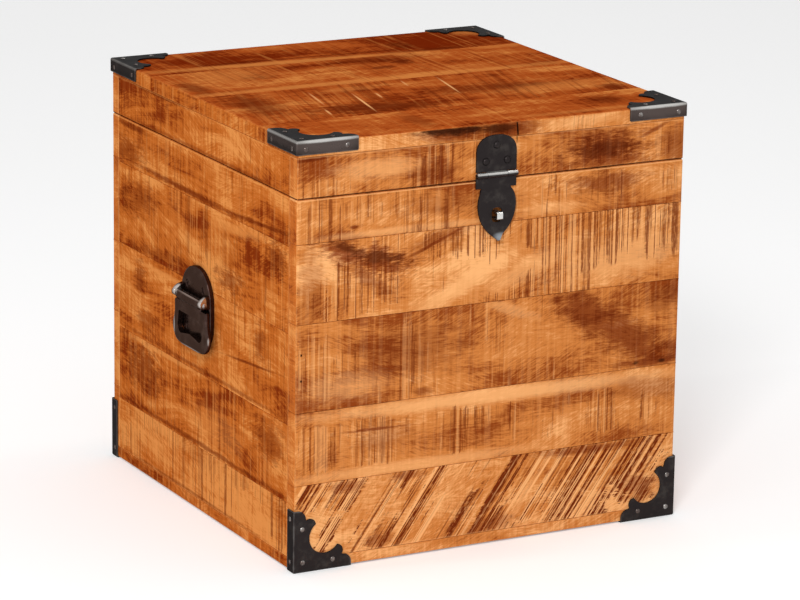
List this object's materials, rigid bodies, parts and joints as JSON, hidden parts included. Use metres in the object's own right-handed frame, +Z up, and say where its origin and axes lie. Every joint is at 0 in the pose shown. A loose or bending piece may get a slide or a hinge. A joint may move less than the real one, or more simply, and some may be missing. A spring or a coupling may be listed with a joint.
{
  "type": "wooden storage box",
  "caption": "Cube-shaped chest of glued boards with a hinged lid, three-way metal corner braces, a hasp and staple, and a drop handle on each side.",
  "frame": {"origin": "middle of the whole object's footprint, on the floor", "axes": "+X to the right along the front, +Y from the front to the back, +Z up; the hasp faces -Y"},
  "size_m": [0.4302, 0.416, 0.3998],
  "materials": {
    "front_wood": "satin lacquer over rough-sawn boards",
    "side_wood": "satin lacquer over rough-sawn boards",
    "top_wood": "satin lacquer over rough-sawn boards",
    "black_steel": "blackened sheet, satin",
    "cast_iron": "black-brown enamel, glossy",
    "bright_steel": "bright zinc"
  },
  "bodies": {
    "box": {"bottom_board_1": "side_wood", "bottom_board_2": "side_wood", "bottom_board_3": "side_wood", "bottom_board_4": "side_wood", "front_board_1": "front_wood", "front_board_2": "front_wood", "front_board_3": "front_wood", "front_board_4": "front_wood", "front_board_5": "front_wood", "back_board_1": "front_wood", "back_board_2": "front_wood", "back_board_3": "front_wood", "back_board_4": "front_wood", "back_board_5": "front_wood", "left_board_1": "side_wood", "left_board_2": "side_wood", "left_board_3": "side_wood", "left_board_4": "side_wood", "left_board_5": "side_wood", "right_board_1": "side_wood", "right_board_2": "side_wood", "right_board_3": "side_wood", "right_board_4": "side_wood", "right_board_5": "side_wood", "base_brace_front_left": "black_steel", "base_brace_front_right": "black_steel", "base_brace_back_left": "black_steel", "base_brace_back_right": "black_steel", "staple": "bright_steel", "left_handle_plate": "cast_iron", "left_handle_pin": "cast_iron", "left_hinge_body_leaf": "black_steel", "left_hinge_pin": "black_steel", "right_handle_plate": "cast_iron", "right_handle_pin": "cast_iron", "right_hinge_body_leaf": "black_steel", "right_hinge_pin": "black_steel"},
    "lid": {"lid_top_board_1": "top_wood", "lid_top_board_2": "top_wood", "lid_top_board_3": "top_wood", "lid_top_board_4": "top_wood", "lid_front_rail": "front_wood", "lid_back_rail": "front_wood", "lid_left_rail": "side_wood", "lid_right_rail": "side_wood", "lid_brace_front_left": "black_steel", "lid_brace_front_right": "black_steel", "lid_brace_back_left": "black_steel", "lid_brace_back_right": "black_steel", "hasp_plate": "black_steel", "hasp_pin": "black_steel", "left_hinge_lid_leaf": "black_steel", "right_hinge_lid_leaf": "black_steel"},
    "hasp_strap": {"hasp_strap": "black_steel"},
    "left_bail": {"left_handle_bail": "cast_iron"},
    "right_bail": {"right_handle_bail": "cast_iron"}
  },
  "joints": [
    {"name": "lid_hinge", "type": "hinge", "parent": "box", "child": "lid", "pos_m": [0, 0.2053, 0.34595], "axis": [-1, 0, 0], "range_deg": [0, 180]},
    {"name": "strap_hinge", "type": "hinge", "parent": "lid", "child": "hasp_strap", "pos_m": [0, -0.2007, 0.35125], "axis": [-1, 0, 0], "range_deg": [0, 170]},
    {"name": "left_bail_pivot", "type": "hinge", "parent": "box", "child": "left_bail", "pos_m": [-0.2096, 0.0023, 0.2093], "axis": [0, 1, 0], "range_deg": [0, 90]},
    {"name": "right_bail_pivot", "type": "hinge", "parent": "box", "child": "right_bail", "pos_m": [0.2096, 0.0023, 0.2093], "axis": [0, -1, 0], "range_deg": [0, 90]}
  ]
}
